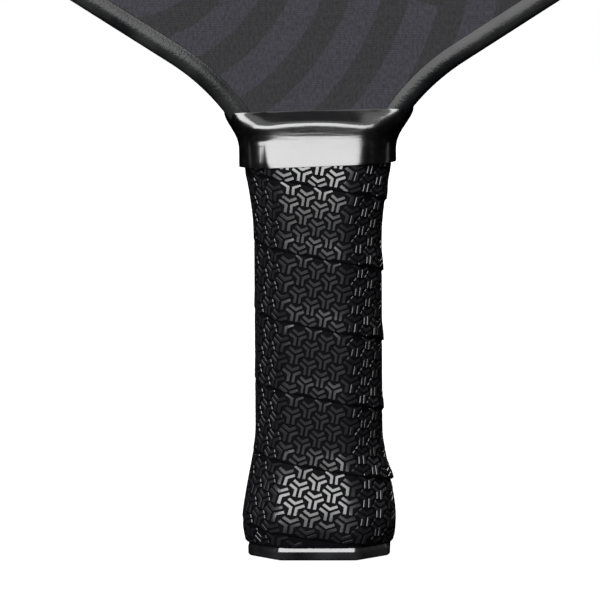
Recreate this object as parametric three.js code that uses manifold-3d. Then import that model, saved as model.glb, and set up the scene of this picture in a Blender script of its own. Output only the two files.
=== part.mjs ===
// Pickleball paddle: a honeycomb sandwich panel with an edge guard, and an eight-sided handle built up on the
// panel's tongue from two pallets, a butt cap, a wrapped cushion grip and a finishing band.
// Millimetres. +Z runs up the paddle, X across its width, and -Y is the front. The origin is the centre of
// the butt cap's underside.

import * as THREE from "three";
import { mergeVertices } from "three/addons/utils/BufferGeometryUtils.js";
import Module from "manifold-3d";

const wasm = await Module();
wasm.setup();

// ---------------------------------------------------------------- driving dimensions

const OVERALL_LENGTH = 400;
const HEAD_WIDTH = 200;
const HANDLE_LENGTH = 121.3; // butt to the crown of the pallets' arched top

// Sandwich panel
const CORE_THICKNESS = 13;
const SHEET_THICKNESS = 0.6;
const FILM_THICKNESS = 0.15;
const CELL_PITCH = 16; // the solid's cells are twice the real 8 mm, with walls twice as thick
const CELL_WALL = 0.8;
const CORE_RIM = 1.6;
const SMALLEST_POCKET = 350; // mm3: cut cells smaller than this stay solid

// Head outline
const NECK_RADIUS = 60;
const SHOULDER_LEAN = 57.5; // degrees from the paddle's axis
const SHOULDER_RADIUS = 40;
const TOP_RADIUS = 46;
const CROWN_DROP = 7; // fall of the top edge from the middle to the corners
const CROWN_RADIUS = 420;

// Edge guard
const GUARD_WEB = 1.6; // outside the panel's edge
const GUARD_LIP = 1.1; // over each face
const GUARD_COVER = 4.2; // how far a lip reaches over the face
const GUARD_ROUND = 2.2;
const GUARD_TAPE = 0.4;
const GUARD_END = 6.2; // its ends stop this far below the top of the handle

// Handle, bare of its grip
const HANDLE_WIDTH = 31.2;
const HANDLE_THICKNESS = 25.4;
const HANDLE_CHAMFER = 6.9;
const CHAMFER_GROWTH = 0.3; // of a chamfer, for each millimetre the handle widens on a side
const NECK_CHAMFER_FALL = 0.25; // of its leg through the thickness, for each millimetre of widening
const CORNER_SOFTENING = 0.9; // from a handle's corner to where its rounding starts
const PALLET_SIDE_WALL = 4; // pallet material beside the tongue
const TONGUE_COVER = 0.6; // pallet left between the tongue's corners and the chamfers inside the cap
const PALLET_TAPE = 0.25;
const PALLET_ARCH_RADIUS = 132;
const NECK_HALF_GROWTH = 6.2; // the handle widens by this on each side up to the neck
const NECK_FLARE_LENGTH = 33;
const NECK_FLARE_POWER = 1.6;
const NECK_THINNING = 1.3; // and is thinner by this on each face there
const SHOULDER_FALL = 4.3; // length over which the pallets round down to the face
const LEAST_LEG = 1.5; // of the chamfers as they run out over that length

// Butt
const CAP_FLOOR = 2.5;
const CAP_LIP_HEIGHT = 3.4;
const CAP_LIP_WIDTH = 1.45; // ledge under the grip's lower edge
const CAP_SKIRT_WALL = 1.2;
const CAP_SKIRT_TOP = 26;
// height above the butt, and how much wider than the straight handle each side is there
const BUTT_FLARE = [[CAP_LIP_HEIGHT, 2.6], [6, 3.4], [9, 3.8], [14, 3.2], [20, 2.1], [26, 1.0], [32, 0]];
const FLARE_THICKNESS_SHARE = 0.85; // the flare grows less in thickness than in width
const BADGE_RADIUS = 10.5;
const BADGE_THICKNESS = 0.8;
const STAPLE_WIRE = 0.7;
const STAPLE_WIDTH = 10;
const STAPLE_LEG = 5.5;
const STAPLE_HEIGHT = 15;

// Grip and finishing band
const CUSHION_THICKNESS = 1.2;
const SKIN_THICKNESS = 0.6;
const GRIP_END = 6.8; // below the top of the handle
const BAND_THICKNESS = 0.25;
const BAND_BELOW = 13.8; // from the top of the handle down to the band's lower edge
const BAND_ABOVE = 3.4; // from the top of the handle up to the band's upper edge

// Fits
const LAYER_GAP = 0.02; // between bonded flat layers
const FIT = 0.15; // between nested pieces
const CUT_GAP = 0.3; // round a piece let into another

// ---------------------------------------------------------------- sizes that follow

const PANEL_HALF = CORE_THICKNESS / 2 + FILM_THICKNESS + SHEET_THICKNESS + 2 * LAYER_GAP;
const OFFSET_LEG = 2 - Math.SQRT2; // growth of a chamfer's leg for each millimetre of offset
const SPIGOT_INSET = CAP_SKIRT_WALL + FIT; // from the handle's surface to the pallets inside the cap
const SPIGOT_SUM = (HANDLE_WIDTH + HANDLE_THICKNESS) / 2 - 2 * SPIGOT_INSET;
const TONGUE_HALF = HANDLE_WIDTH / 2 - PALLET_SIDE_WALL;
const SPIGOT_LEG = SPIGOT_SUM - TONGUE_HALF - PANEL_HALF - TONGUE_COVER; // its chamfers clear the tongue
const PANEL_EDGE = HEAD_WIDTH / 2 - GUARD_WEB;
const PANEL_TOP = OVERALL_LENGTH - GUARD_WEB;
const NECK_CORNER = HANDLE_LENGTH - 1.1;
const GRIP_THICKNESS = FIT + CUSHION_THICKNESS + LAYER_GAP + SKIN_THICKNESS;
const GUARD_HALF = PANEL_HALF + LAYER_GAP + GUARD_LIP;
const GUARD_GAP = GUARD_TAPE + 2 * LAYER_GAP; // between the panel's edge and the guard's web
const PANEL_BOTTOM = CAP_FLOOR + FIT;
const PALLET_FLOOR = PANEL_HALF + PALLET_TAPE + 2 * LAYER_GAP;
const REACH = 10; // how far a cutting body runs past what it cuts

const ARC_STEP = 8; // degrees
const radians = THREE.MathUtils.degToRad;

// ---------------------------------------------------------------- helpers

/** A polyline through corners [x, y, radius], each corner rounded by an arc. */
function roundedPath(corners, closed) {
  const points = [];
  corners.forEach(([x, y, radius], i) => {
    const here = new THREE.Vector2(x, y);
    const isEnd = !closed && (i === 0 || i === corners.length - 1);
    if (isEnd || !radius) {
      points.push(here);
      return;
    }
    const before = corners.at(i - 1);
    const after = corners[(i + 1) % corners.length];
    const toBefore = new THREE.Vector2(before[0] - x, before[1] - y).normalize();
    const toAfter = new THREE.Vector2(after[0] - x, after[1] - y).normalize();
    const half = Math.acos(THREE.MathUtils.clamp(toBefore.dot(toAfter), -1, 1)) / 2;
    const turn = Math.PI - 2 * half;
    const inwards = toBefore.clone().add(toAfter).normalize();
    const middle = inwards.multiplyScalar(radius / Math.sin(half)).add(here);
    const start = toBefore.clone().multiplyScalar(radius / Math.tan(half)).add(here);
    const side = Math.sign(toBefore.cross(toAfter)) || 1;
    const steps = Math.max(2, Math.round(THREE.MathUtils.radToDeg(turn) / ARC_STEP));
    for (let k = 0; k <= steps; k += 1) {
      points.push(start.clone().rotateAround(middle, (-side * turn * k) / steps));
    }
  });
  return points;
}

/** The closed outline moved outwards by a distance, or inwards by a negative one. */
function offsetOutline(points, distance) {
  const n = points.length;
  return points.map((point, i) => {
    const into = point.clone().sub(points[(i + n - 1) % n]).normalize();
    const away = points[(i + 1) % n].clone().sub(point).normalize();
    const normal = new THREE.Vector2(into.y + away.y, -into.x - away.x).normalize();
    const miter = distance / Math.max(0.3, normal.dot(new THREE.Vector2(into.y, -into.x)));
    return point.clone().addScaledVector(normal, miter);
  });
}

/** A plate with its outline in the XZ plane and its thickness from y0 to y1. */
function plate(outline, y0, y1, bevel) {
  const round = bevel ? { bevelEnabled: true, bevelSegments: 3, ...bevel } : { bevelEnabled: false };
  const inset = bevel ? bevel.bevelThickness : 0;
  const geometry = new THREE.ExtrudeGeometry(new THREE.Shape(outline), {
    depth: y1 - y0 - 2 * inset,
    ...round,
  });
  return geometry.rotateX(Math.PI / 2).translate(0, y1 - inset, 0);
}

/** Triangles of the wall from one ring of n points to the next, both counted from a first point. */
function wallFaces(n, lower, upper) {
  return Array.from({ length: n }, (_, k) => {
    const along = (k + 1) % n;
    return [lower + k, lower + along, upper + along, lower + k, upper + along, upper + k];
  }).flat();
}

/** The same triangles facing the other way. */
const flipped = (faces) => faces.toReversed();

/** A geometry from rings of points and triangle corners. */
function ringGeometry(rings, faces) {
  const positions = rings.flat().flatMap((p) => [p.x, p.y, p.z]);
  const geometry = new THREE.BufferGeometry();
  geometry.setAttribute("position", new THREE.Float32BufferAttribute(positions, 3));
  return geometry.setIndex(faces);
}

/** A closed body through rings of points, listed upwards; each ring has the same number of points. */
function loft(rings) {
  const n = rings[0].length;
  const last = (rings.length - 1) * n;
  const faces = rings.slice(1).flatMap((_, r) => wallFaces(n, r * n, (r + 1) * n));
  for (let k = 1; k + 1 < n; k += 1) {
    faces.push(0, k + 1, k, last, last + k, last + k + 1);
  }
  return ringGeometry(rings, faces);
}

/** A sleeve between outer and inner rings, both listed upwards. */
function sleeve(outer, inner) {
  const n = outer[0].length;
  const first = outer.length * n; // of the inner rings' points
  const top = (outer.length - 1) * n;
  const outside = outer.slice(1).flatMap((_, r) => wallFaces(n, r * n, (r + 1) * n));
  const inside = flipped(outside).map((corner) => corner + first);
  const ends = [...wallFaces(n, top, first + top), ...flipped(wallFaces(n, 0, first))];
  const geometry = ringGeometry([...outer, ...inner], [...outside, ...inside, ...ends]);
  geometry.computeVertexNormals();
  return geometry;
}

/** A level eight-sided ring with softened corners; legX and legY are its chamfers' legs. */
function octagonRing(z, halfWidth, halfThickness, legX, legY) {
  const w = halfWidth;
  const t = halfThickness;
  const corners = [
    [w, t - legY], [w - legX, t], [legX - w, t], [-w, t - legY],
    [-w, legY - t], [legX - w, -t], [w - legX, -t], [w, legY - t],
  ];
  const ring = [];
  corners.forEach(([x, y], i) => {
    const here = new THREE.Vector3(x, y, z);
    const before = new THREE.Vector3(...corners.at(i - 1), z).sub(here).setLength(CORNER_SOFTENING);
    const after = new THREE.Vector3(...corners[(i + 1) % 8], z).sub(here).setLength(CORNER_SOFTENING);
    const middle = before.clone().add(after).multiplyScalar(0.25);
    ring.push(here.clone().add(before), here.clone().add(middle), here.clone().add(after));
  });
  return ring;
}

/** A geometry as a manifold solid, for joining and cutting. */
function solid(geometry) {
  const bare = new THREE.BufferGeometry().setAttribute("position", geometry.getAttribute("position"));
  bare.setIndex(geometry.index);
  const merged = mergeVertices(bare, 1e-4);
  return new wasm.Manifold(
    new wasm.Mesh({
      numProp: 3,
      vertProperties: merged.attributes.position.array,
      triVerts: new Uint32Array(merged.index.array),
    }),
  );
}

/** A manifold solid's surface as a geometry. */
function geometryOf(body) {
  const mesh = body.getMesh();
  const geometry = new THREE.BufferGeometry();
  geometry.setAttribute("position", new THREE.Float32BufferAttribute(mesh.vertProperties, 3));
  geometry.setIndex(new THREE.BufferAttribute(mesh.triVerts, 1));
  geometry.computeVertexNormals();
  return geometry;
}

/** A box between two corners, as a manifold solid. */
function block(x0, x1, y0, y1, z0, z1) {
  const box = new THREE.BoxGeometry(x1 - x0, y1 - y0, z1 - z0);
  return solid(box.translate((x0 + x1) / 2, (y0 + y1) / 2, (z0 + z1) / 2));
}

const paddle = new THREE.Group();

function addPart(name, geometry, material) {
  const mesh = new THREE.Mesh(geometry, material);
  mesh.name = name;
  paddle.add(mesh);
}

// ---------------------------------------------------------------- materials

const finish = (color, roughness, metalness = 0) =>
  new THREE.MeshStandardMaterial({ color, roughness, metalness });

const printedFace = finish(0x38373c, 0.75);
const polypropylene = finish(0xd9dcdd, 0.6);
const bondFilm = finish(0xcfc9a8, 0.5);
const guardPlastic = finish(0x17181a, 0.35);
const adhesive = finish(0xe8e4da, 0.8);
const handleFoam = finish(0x2b2c2f, 0.85);
const capPlastic = finish(0x0d0d0f, 0.2);
const badgeVinyl = finish(0x3a3944, 0.35);
const steelWire = finish(0xa9abad, 0.35, 0.9);
const cushionFoam = finish(0x3a3a3c, 0.95);
const gripSkin = finish(0x141416, 0.45);
const bandVinyl = finish(0x0b0c0d, 0.12);

// ---------------------------------------------------------------- panel outline

/** The panel's outline: tongue, neck, shoulders, straight sides and a crowned top. */
function panelOutline() {
  const lean = radians(SHOULDER_LEAN);
  const shoulderTop = NECK_CORNER + (PANEL_EDGE - TONGUE_HALF) / Math.tan(lean);
  const right = roundedPath(
    [
      [TONGUE_HALF, PANEL_BOTTOM, 0],
      [TONGUE_HALF, NECK_CORNER, NECK_RADIUS],
      [PANEL_EDGE, shoulderTop, SHOULDER_RADIUS],
      [PANEL_EDGE, PANEL_TOP - CROWN_DROP, TOP_RADIUS],
      [0, PANEL_TOP, 0],
    ],
    false,
  );
  right.pop();
  const crownHalf = right.at(-1).x;
  const crownEdge = right.at(-1).y;
  const crown = [0.55, 0].map(
    (share) =>
      new THREE.Vector2(
        share * crownHalf,
        PANEL_TOP - (PANEL_TOP - crownEdge) * (1 - Math.sqrt(1 - (share * crownHalf / CROWN_RADIUS) ** 2))
          / (1 - Math.sqrt(1 - (crownHalf / CROWN_RADIUS) ** 2)),
      ),
  );
  const rightSide = [...right, crown[0]];
  const left = rightSide.map((p) => new THREE.Vector2(-p.x, p.y)).reverse();
  return [...rightSide, crown[1], ...left];
}

const outline = panelOutline();

/** Half the panel's width at a height in the neck. */
function neckHalf(z) {
  const start = NECK_CORNER - NECK_RADIUS * Math.tan(radians(SHOULDER_LEAN) / 2);
  const rise = THREE.MathUtils.clamp(z - start, 0, NECK_RADIUS * Math.sin(radians(SHOULDER_LEAN)));
  return TONGUE_HALF + NECK_RADIUS - Math.sqrt(NECK_RADIUS ** 2 - rise ** 2);
}

// ---------------------------------------------------------------- sandwich panel

function honeycomb() {
  const half = CORE_THICKNESS / 2;
  const cellRadius = (CELL_PITCH - CELL_WALL) / Math.sqrt(3);
  const rowStep = (CELL_PITCH * Math.sqrt(3)) / 2;
  const cells = [];
  for (let row = 0; row * rowStep < PANEL_TOP + CELL_PITCH; row += 1) {
    const shift = row % 2 ? CELL_PITCH / 2 : 0;
    for (let x = shift - HEAD_WIDTH; x <= HEAD_WIDTH; x += CELL_PITCH) {
      if (Math.abs(x) < PANEL_EDGE + CELL_PITCH / 2) {
        const cell = new THREE.CylinderGeometry(cellRadius, cellRadius, CORE_THICKNESS + 2 * REACH, 6);
        cells.push(solid(cell.translate(x, 0, PANEL_BOTTOM + row * rowStep)));
      }
    }
  }
  const inside = solid(plate(offsetOutline(outline, -CORE_RIM), -half - REACH, half + REACH));
  const pockets = wasm.Manifold.union(cells)
    .intersect(inside)
    .decompose()
    .filter((pocket) => pocket.volume() > SMALLEST_POCKET * ((CORE_THICKNESS + 2 * REACH) / CORE_THICKNESS));
  return solid(plate(outline, -half, half)).subtract(wasm.Manifold.union(pockets));
}

addPart("core_honeycomb", geometryOf(honeycomb()), polypropylene);

const filmInner = CORE_THICKNESS / 2 + LAYER_GAP;
const filmOuter = filmInner + FILM_THICKNESS;
addPart("front_bond_film", plate(outline, -filmOuter, -filmInner), bondFilm);
addPart("rear_bond_film", plate(outline, filmInner, filmOuter), bondFilm);

const sheetInner = filmOuter + LAYER_GAP;
addPart("front_face_sheet", plate(outline, -PANEL_HALF, -sheetInner), printedFace);
addPart("rear_face_sheet", plate(outline, sheetInner, PANEL_HALF), printedFace);

// ---------------------------------------------------------------- edge guard

const guardBottom = HANDLE_LENGTH - GUARD_END;

/** The guard's full outer form from a height upwards, grown by a clearance, before its channel is cut. */
function guardForm(clearance, from) {
  const half = GUARD_HALF + clearance;
  const form = plate(offsetOutline(outline, GUARD_WEB - GUARD_ROUND + clearance), -half, half, {
    bevelSize: GUARD_ROUND,
    bevelThickness: GUARD_ROUND,
  });
  return solid(form).intersect(block(-HEAD_WIDTH, HEAD_WIDTH, -2 * half, 2 * half, from, 2 * OVERALL_LENGTH));
}

function edgeGuard() {
  const channelHalf = PANEL_HALF + LAYER_GAP;
  const channel = solid(plate(offsetOutline(outline, GUARD_GAP), -channelHalf, channelHalf));
  const through = GUARD_HALF + REACH;
  const window = solid(plate(offsetOutline(outline, -GUARD_COVER), -through, through));
  return guardForm(0, guardBottom).subtract(channel).subtract(window);
}

function guardTape() {
  const half = CORE_THICKNESS / 2;
  const outer = solid(plate(offsetOutline(outline, LAYER_GAP + GUARD_TAPE), -half, half));
  const inner = solid(plate(offsetOutline(outline, LAYER_GAP), -half - REACH, half + REACH));
  const above = block(-HEAD_WIDTH, HEAD_WIDTH, -2 * half, 2 * half, guardBottom, 2 * OVERALL_LENGTH);
  return outer.subtract(inner).intersect(above);
}

addPart("edge_guard", geometryOf(edgeGuard()), guardPlastic);
addPart("edge_guard_tape", geometryOf(guardTape()), adhesive);

// ---------------------------------------------------------------- handle form

const neckFlareStart = HANDLE_LENGTH - NECK_FLARE_LENGTH;

/** How far up the neck's flare a height is, from 0 to 1. */
const neckShare = (z) => THREE.MathUtils.clamp((z - neckFlareStart) / NECK_FLARE_LENGTH, 0, 1);

/** How much each face of the bare handle is further out than on its straight part, at a height. */
function thickening(z) {
  if (z > neckFlareStart) {
    return -NECK_THINNING * Math.min(1, 1.5 * neckShare(z));
  }
  return widening(z) * FLARE_THICKNESS_SHARE;
}

/** How much each side of the bare handle is wider than its straight part, at a height. */
function widening(z) {
  if (z > neckFlareStart) {
    return NECK_HALF_GROWTH * neckShare(z) ** NECK_FLARE_POWER;
  }
  const above = BUTT_FLARE.findIndex(([height]) => height > z);
  if (above === -1) return 0;
  if (above === 0) return BUTT_FLARE[0][1];
  const [z0, w0] = BUTT_FLARE[above - 1];
  const [z1, w1] = BUTT_FLARE[above];
  return w0 + ((w1 - w0) * (z - z0)) / (z1 - z0);
}

/** The leg of the neck's chamfer through the handle's thickness, limited by the panel's edge inside it. */
function neckLeg(z, legX) {
  const beside = HANDLE_WIDTH / 2 + widening(z) - neckHalf(z) - TONGUE_COVER / 2;
  const over = HANDLE_THICKNESS / 2 + thickening(z) - PANEL_HALF - TONGUE_COVER;
  const room = over / (1 - Math.min(0.5, beside / legX));
  return Math.min(HANDLE_CHAMFER - NECK_CHAMFER_FALL * widening(z), room);
}

/** The bare handle's ring at a height, grown sideways and in thickness. */
function handleRing(z, growX, growY = growX) {
  const wide = widening(z);
  const atNeck = z > neckFlareStart;
  const legX = HANDLE_CHAMFER + CHAMFER_GROWTH * wide;
  const legY = atNeck ? neckLeg(z, legX) : legX;
  return octagonRing(
    z,
    HANDLE_WIDTH / 2 + wide + growX,
    HANDLE_THICKNESS / 2 + thickening(z) + growY,
    legX + OFFSET_LEG * growX,
    legY + OFFSET_LEG * growY,
  );
}

/** A ring of the pallets' spigot inside the cap, grown by an offset. */
function spigotRing(z, grow) {
  const leg = SPIGOT_LEG + OFFSET_LEG * grow;
  return octagonRing(
    z, HANDLE_WIDTH / 2 - SPIGOT_INSET + grow, HANDLE_THICKNESS / 2 - SPIGOT_INSET + grow, leg, leg);
}

/** Heights between two ends at which the handle's form changes direction. */
function stations(from, to) {
  const neck = [0, 0.22, 0.42, 0.66].map((share) => neckFlareStart + share * NECK_FLARE_LENGTH);
  const ends = [HANDLE_LENGTH - BAND_BELOW, HANDLE_LENGTH - GRIP_END];
  const marks = [...BUTT_FLARE.map(([height]) => height), ...neck, ...ends].sort((a, b) => a - b);
  return [from, ...marks.filter((z) => z > from + 0.2 && z < to - 0.2), to];
}

/** The handle's form between two heights, grown by an offset. */
const handleForm = (from, to, offset) => loft(stations(from, to).map((z) => handleRing(z, offset)));

// ---------------------------------------------------------------- pallets

/** Rings that round the handle's end down towards the face: a quarter ellipse in its thickness. */
function shoulderRings(growX, growY, foot) {
  const start = HANDLE_LENGTH - SHOULDER_FALL;
  const full = HANDLE_THICKNESS / 2 + thickening(start) + growY;
  return [0, 0.35, 0.65, 0.87, 1].map((share) => {
    const fall = (full - foot) * (1 - Math.sqrt(1 - share ** 2));
    const z = start + share * SHOULDER_FALL;
    const half = HANDLE_WIDTH / 2 + widening(z) + growX;
    const legX = HANDLE_CHAMFER + CHAMFER_GROWTH * widening(z) - fall;
    const legY = HANDLE_CHAMFER - NECK_CHAMFER_FALL * widening(start) + OFFSET_LEG * growY - fall;
    return octagonRing(z, half, full - fall, Math.max(LEAST_LEG, legX), Math.max(LEAST_LEG, legY));
  });
}

/** The arched top of the handle, as a disc seen from the front that everything below it lies within. */
function archDisc(grow) {
  const radius = PALLET_ARCH_RADIUS + grow;
  const disc = new THREE.CylinderGeometry(radius, radius, HANDLE_THICKNESS + 2 * REACH, 180);
  return solid(disc.translate(0, 0, HANDLE_LENGTH - PALLET_ARCH_RADIUS));
}

function palletForm() {
  const skirtEnd = CAP_SKIRT_TOP + FIT;
  const lower = solid(loft([spigotRing(PANEL_BOTTOM, 0), spigotRing(skirtEnd + 1, 0)]));
  const full = stations(skirtEnd, HANDLE_LENGTH - SHOULDER_FALL).slice(0, -1).map((z) => handleRing(z, 0));
  const upper = solid(loft([...full, ...shoulderRings(0, 0, PALLET_FLOOR + FIT)]));
  return lower.add(upper).intersect(archDisc(0));
}

/** A U of flat wire with its crown across X, standing on the front of the handle with its legs inwards. */
function stapleForm(grow) {
  const half = STAPLE_WIDTH / 2 + grow;
  const wire = STAPLE_WIRE + grow;
  const leg = STAPLE_LEG + grow;
  const u = [
    [-half, -grow], [half, -grow], [half, leg], [half - wire - grow, leg],
    [half - wire - grow, wire], [wire + grow - half, wire], [wire + grow - half, leg], [-half, leg],
  ].map(([x, y]) => new THREE.Vector2(x, y));
  const depth = STAPLE_WIRE + 2 * grow;
  const body = new THREE.ExtrudeGeometry(new THREE.Shape(u), { depth, bevelEnabled: false });
  return body.translate(0, 0, -depth / 2);
}

const stapleFace = -(HANDLE_THICKNESS / 2 + thickening(STAPLE_HEIGHT)) + CUT_GAP;

/** The staple, or with grow the hole for it, in place on the front (1) or rear (-1). */
function staple(side, grow) {
  const body = stapleForm(grow).translate(0, stapleFace, STAPLE_HEIGHT);
  return side > 0 ? body : body.rotateZ(Math.PI);
}

const palletTapeHalf = TONGUE_HALF - FIT;
const tongueSlotHalf = PALLET_FLOOR + FIT;
const palletBlock = palletForm()
  .subtract(solid(plate(offsetOutline(outline, FIT), -PALLET_FLOOR, PALLET_FLOOR)))
  .subtract(guardForm(CUT_GAP, guardBottom - CUT_GAP))
  .subtract(solid(staple(1, CUT_GAP)))
  .subtract(solid(staple(-1, CUT_GAP)));

const wide = HEAD_WIDTH / 2;
const deep = HANDLE_THICKNESS;
const frontHalf = block(-wide, wide, -deep, -FIT / 2, 0, OVERALL_LENGTH);
const rearHalf = block(-wide, wide, FIT / 2, deep, 0, OVERALL_LENGTH);
addPart("front_pallet", geometryOf(palletBlock.intersect(frontHalf)), handleFoam);
addPart("rear_pallet", geometryOf(palletBlock.intersect(rearHalf)), handleFoam);

function palletTape(side) {
  const inner = PANEL_HALF + LAYER_GAP;
  const length = guardBottom - PANEL_BOTTOM - 2 * REACH;
  const tape = new THREE.BoxGeometry(2 * palletTapeHalf, PALLET_TAPE, length);
  return tape.translate(0, side * (inner + PALLET_TAPE / 2), PANEL_BOTTOM + REACH + length / 2);
}

addPart("front_pallet_tape", palletTape(-1), adhesive);
addPart("rear_pallet_tape", palletTape(1), adhesive);

// ---------------------------------------------------------------- butt cap, badge and staples

function buttCap() {
  const lipWide = HANDLE_WIDTH / 2 + BUTT_FLARE[0][1] + CAP_LIP_WIDTH;
  const lipThick = HANDLE_THICKNESS / 2 + BUTT_FLARE[0][1] * FLARE_THICKNESS_SHARE + CAP_LIP_WIDTH;
  const lipLeg = HANDLE_CHAMFER + CHAMFER_GROWTH * BUTT_FLARE[0][1] + OFFSET_LEG * CAP_LIP_WIDTH;
  const lipRing = (z, inset) => {
    const leg = lipLeg - OFFSET_LEG * inset;
    return octagonRing(z, lipWide - inset, lipThick - inset, leg, leg);
  };
  const lip = solid(
    loft([
      lipRing(0, 1.4),
      lipRing(0.45, 0.6),
      lipRing(1.3, 0.1),
      lipRing(2.6, 0),
      lipRing(CAP_LIP_HEIGHT, 0.25),
    ]),
  );
  const skirt = solid(handleForm(CAP_FLOOR, CAP_SKIRT_TOP, 0));
  const cavity = solid(loft([spigotRing(CAP_FLOOR, FIT), spigotRing(CAP_SKIRT_TOP + REACH, FIT)]));
  const recess = new THREE.CylinderGeometry(
    BADGE_RADIUS + CUT_GAP, BADGE_RADIUS + CUT_GAP, 2 * BADGE_THICKNESS, 48);
  return lip
    .add(skirt)
    .subtract(cavity)
    .subtract(solid(recess.rotateX(Math.PI / 2)))
    .subtract(solid(staple(1, CUT_GAP)))
    .subtract(solid(staple(-1, CUT_GAP)));
}

addPart("butt_cap", geometryOf(buttCap()), capPlastic);

const badge = new THREE.CylinderGeometry(BADGE_RADIUS, BADGE_RADIUS, BADGE_THICKNESS - CUT_GAP, 48);
addPart("butt_badge", badge.rotateX(Math.PI / 2).translate(0, 0, (BADGE_THICKNESS + CUT_GAP) / 2 - LAYER_GAP),
  badgeVinyl);
addPart("front_staple", staple(1, 0), steelWire);
addPart("rear_staple", staple(-1, 0), steelWire);

// ---------------------------------------------------------------- grip

/** One layer of the wrapped grip, as a sleeve over the handle. */
function gripLayer(inner, thickness) {
  const heights = stations(CAP_LIP_HEIGHT + FIT, HANDLE_LENGTH - GRIP_END);
  const rings = (offset) => heights.map((z) => handleRing(z, offset));
  return sleeve(rings(inner + thickness), rings(inner));
}

addPart("grip_cushion", gripLayer(FIT, CUSHION_THICKNESS), cushionFoam);
addPart("grip_skin", gripLayer(FIT + CUSHION_THICKNESS + LAYER_GAP, SKIN_THICKNESS), gripSkin);

// ---------------------------------------------------------------- finishing band

/** What the band is stretched over, grown by an offset: the grip's end, the handle's arched shoulder and the
 *  guard's ends. It runs on by `over` at both edges. */
function bandForm(offset, over) {
  const grip = GRIP_THICKNESS + FIT + offset;
  const shoulder = FIT + offset;
  const from = HANDLE_LENGTH - BAND_BELOW - over;
  const gripEnd = HANDLE_LENGTH - GRIP_END + FIT + offset;
  const overGrip = stations(from, gripEnd).map((z) => handleRing(z, grip));
  const dome = solid(loft([...overGrip, ...shoulderRings(grip, shoulder, PALLET_FLOOR + 2 * FIT + offset)]));
  const collar = guardForm(FIT + offset, gripEnd + FIT)
    .intersect(block(-HEAD_WIDTH, HEAD_WIDTH, -wide, wide, 0, HANDLE_LENGTH + BAND_ABOVE + over));
  return dome.intersect(archDisc(FIT + offset)).add(collar);
}

addPart("finishing_band", geometryOf(bandForm(BAND_THICKNESS, 0).subtract(bandForm(0, 0.5))), bandVinyl);

export default paddle;
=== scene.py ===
"""Looks of a pickleball paddle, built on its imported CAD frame.

Metres; +Z runs up the paddle from the butt, and the front face looks along -Y.
"""

from __future__ import annotations

import logging
import math
from dataclasses import dataclass, field
from enum import Enum
from typing import Callable

import bpy
import numpy as np
from mathutils import Matrix, Vector

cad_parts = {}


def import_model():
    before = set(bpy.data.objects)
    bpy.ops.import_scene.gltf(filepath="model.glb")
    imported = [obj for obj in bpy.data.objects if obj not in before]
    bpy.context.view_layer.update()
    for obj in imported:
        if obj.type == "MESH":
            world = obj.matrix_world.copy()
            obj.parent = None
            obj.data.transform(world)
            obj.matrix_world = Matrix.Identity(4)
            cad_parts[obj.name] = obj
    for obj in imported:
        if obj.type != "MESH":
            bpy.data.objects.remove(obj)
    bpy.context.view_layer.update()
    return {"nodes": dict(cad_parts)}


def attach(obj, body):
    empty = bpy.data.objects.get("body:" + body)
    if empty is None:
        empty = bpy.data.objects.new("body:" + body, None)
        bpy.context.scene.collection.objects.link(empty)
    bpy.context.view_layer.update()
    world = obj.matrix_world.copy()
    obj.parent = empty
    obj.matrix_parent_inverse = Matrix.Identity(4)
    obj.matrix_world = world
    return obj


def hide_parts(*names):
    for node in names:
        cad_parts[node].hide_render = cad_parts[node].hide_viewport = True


LOG = logging.getLogger("paddle")
MM = 0.001
PERIMETER = 108 * MM  # the way round the straight part of the gripped handle
Array = np.ndarray
Colour = tuple[float, float, float]


# ---- shader maths


def _operator(operation: str, swapped: bool = False) -> Callable:
    """Makes a Value's method for one operation of the Math node.

    Args:
        operation: the node's operation.
        swapped: whether the other number comes first.

    Returns:
        The method, on one value or on a value and another.
    """

    def method(self: "Value", *other: "Value | float") -> "Value":
        """Adds the Math node."""
        values = [*other, self] if swapped else [self, *other]
        return self.graph.node("ShaderNodeMath", {"operation": operation}, values)

    return method


class Value:
    """A shader socket that takes part in Python expressions on numbers."""

    __add__ = __radd__ = _operator("ADD")
    __sub__, __rsub__ = _operator("SUBTRACT"), _operator("SUBTRACT", swapped=True)
    __mul__ = __rmul__ = _operator("MULTIPLY")
    __truediv__ = _operator("DIVIDE")
    __mod__ = _operator("FLOORED_MODULO")
    sine = _operator("SINE")
    root = _operator("SQRT")
    size = _operator("ABSOLUTE")
    floor = _operator("FLOOR")
    angle = _operator("ARCTAN2")

    def __init__(self, graph: "Graph", socket: bpy.types.NodeSocket) -> None:
        """Wraps a socket of a graph."""
        self.graph = graph
        self.socket = socket

    def step(self, low: float, high: float) -> "Value":
        """A smooth step from 0 at low to 1 at high.

        Args:
            low: where the step starts.
            high: where it ends.

        Returns:
            The stepped value.
        """
        settings = {"interpolation_type": "SMOOTHSTEP"}
        inputs = {"Value": self, "From Min": low, "From Max": high}
        return self.graph.node("ShaderNodeMapRange", settings, inputs)


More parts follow.
